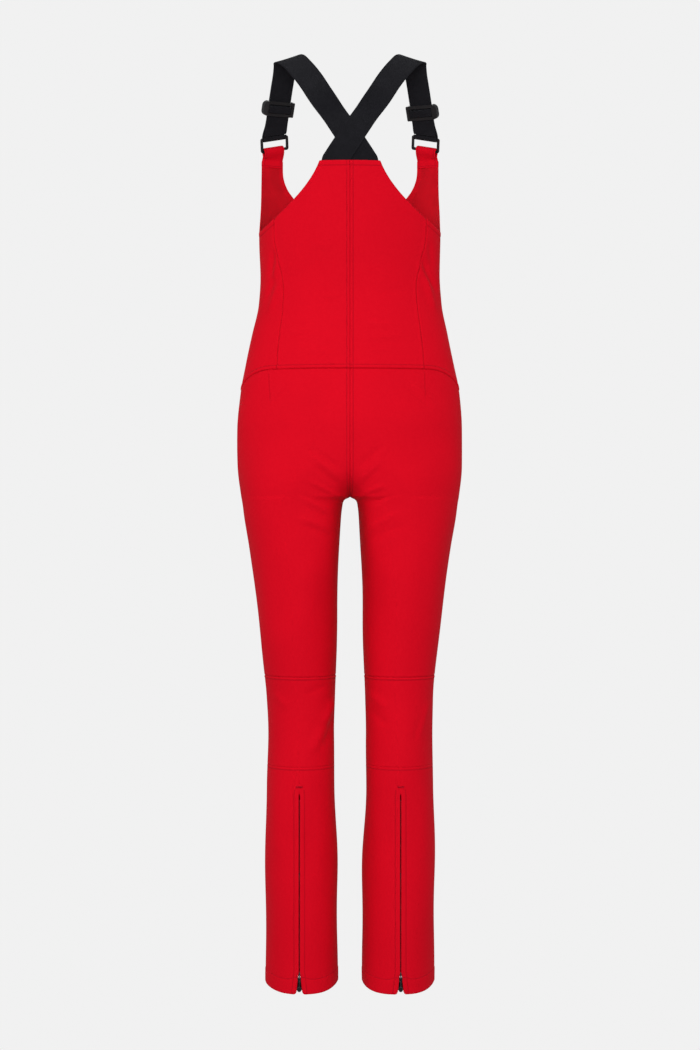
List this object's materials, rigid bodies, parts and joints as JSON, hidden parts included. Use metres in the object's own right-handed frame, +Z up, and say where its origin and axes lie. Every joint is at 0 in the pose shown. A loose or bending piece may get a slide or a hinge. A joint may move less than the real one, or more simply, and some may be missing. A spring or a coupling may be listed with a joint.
{
  "type": "bib ski trousers",
  "caption": "Slim softshell bib ski trousers with a high back bib, crossed elastic braces on rings and adjusters, a front zip and zipped ankles.",
  "frame": {"origin": "midway between the two places where the braces rest on the shoulders, on the undersides of their crests", "axes": "+Z up as worn, -Y to the wearer's front, +X to the wearer's left"},
  "size_m": [0.358, 0.2186, 1.4892],
  "materials": {
    "shell_fabric": "matt bonded softshell, fine smooth weave with stretch",
    "facing_fabric": "matt inner facing",
    "gaiter_lining": "thin coated woven nylon",
    "webbing": "ribbed elastic webbing",
    "moulded_plastic": "moulded, semi-gloss",
    "zip_tape": "woven zip tape",
    "zip_coil": "nylon coil",
    "zip_metal": "black lacquered cast zinc"
  },
  "bodies": {
    "trousers": {"back_leg_L": "shell_fabric", "back_leg_R": "shell_fabric", "front_thigh_L": "shell_fabric", "front_thigh_R": "shell_fabric", "front_shin_L": "shell_fabric", "front_shin_R": "shell_fabric", "back_knee_L": "shell_fabric", "back_knee_R": "shell_fabric", "calf_outer_L": "shell_fabric", "calf_outer_R": "shell_fabric", "calf_inner_L": "shell_fabric", "calf_inner_R": "shell_fabric", "back_bib_L": "shell_fabric", "back_bib_R": "shell_fabric", "back_side_L": "shell_fabric", "back_side_R": "shell_fabric", "front_bib_L": "shell_fabric", "front_bib_R": "shell_fabric", "back_bib_facing": "facing_fabric", "snow_gaiter_L": "gaiter_lining", "snow_gaiter_R": "gaiter_lining", "gaiter_elastic_L": "webbing", "gaiter_elastic_R": "webbing", "ankle_tape_outer_L": "zip_tape", "ankle_tape_outer_R": "zip_tape", "ankle_tape_inner_L": "zip_tape", "ankle_tape_inner_R": "zip_tape", "ankle_teeth_outer_L": "zip_coil", "ankle_teeth_outer_R": "zip_coil", "ankle_teeth_inner_L": "zip_coil", "ankle_teeth_inner_R": "zip_coil", "ankle_bartack_L": "shell_fabric", "ankle_bartack_R": "shell_fabric", "front_tape_L": "zip_tape", "front_tape_R": "zip_tape", "front_teeth_L": "zip_coil", "front_teeth_R": "zip_coil", "front_zip_stop": "zip_metal", "brace_L": "webbing", "brace_R": "webbing", "brace_return_L": "webbing", "brace_return_R": "webbing", "ring_loop_L": "shell_fabric", "ring_loop_R": "shell_fabric"},
    "adjuster_L": {"adjuster_L": "moulded_plastic"},
    "adjuster_R": {"adjuster_R": "moulded_plastic"},
    "ring_L": {"ring_L": "moulded_plastic"},
    "ring_R": {"ring_R": "moulded_plastic"},
    "ankle_slider_L": {"ankle_slider_L": "zip_metal"},
    "ankle_slider_R": {"ankle_slider_R": "zip_metal"},
    "ankle_pull_L": {"ankle_pull_L": "zip_metal"},
    "ankle_pull_R": {"ankle_pull_R": "zip_metal"},
    "front_slider": {"front_slider": "zip_metal"},
    "front_pull": {"front_pull": "zip_metal"}
  },
  "joints": [
    {"name": "adjuster_slide_L", "type": "slide", "parent": "trousers", "child": "adjuster_L", "axis": [-0.1601, 0.3001, 0.9404], "range_m": [-0.01, 0.045], "deforming": ["brace_return_L"]},
    {"name": "ring_swing_L", "type": "hinge", "parent": "trousers", "child": "ring_L", "pos_m": [0.123, -0.0575, -0.1175], "axis": [0.8889, 0.4118, -0.2009], "range_deg": [-5, 5]},
    {"name": "ankle_zip_L", "type": "slide", "parent": "trousers", "child": "ankle_slider_L", "axis": [0, 0, 1], "range_m": [0, 0.27]},
    {"name": "ankle_pull_L", "type": "hinge", "parent": "ankle_slider_L", "child": "ankle_pull_L", "pos_m": [0.0795, 0.0836, -1.4535], "axis": [1, 0, 0], "range_deg": [0, 160]},
    {"name": "adjuster_slide_R", "type": "slide", "parent": "trousers", "child": "adjuster_R", "axis": [0.1601, 0.3001, 0.9404], "range_m": [-0.006, 0.05], "deforming": ["brace_return_R"]},
    {"name": "ring_swing_R", "type": "hinge", "parent": "trousers", "child": "ring_R", "pos_m": [-0.123, -0.0575, -0.1175], "axis": [-0.8889, 0.4118, -0.2009], "range_deg": [-5, 5]},
    {"name": "ankle_zip_R", "type": "slide", "parent": "trousers", "child": "ankle_slider_R", "axis": [0, 0, 1], "range_m": [0, 0.27]},
    {"name": "ankle_pull_R", "type": "hinge", "parent": "ankle_slider_R", "child": "ankle_pull_R", "pos_m": [-0.0795, 0.0836, -1.4535], "axis": [1, 0, 0], "range_deg": [0, 160]},
    {"name": "front_zip", "type": "slide", "parent": "trousers", "child": "front_slider", "axis": [0, 0, -1], "range_m": [0, 0.315]},
    {"name": "front_pull", "type": "hinge", "parent": "front_slider", "child": "front_pull", "pos_m": [0, -0.0996, -0.2615], "axis": [-1, 0, 0], "range_deg": [0, 160]}
  ]
}
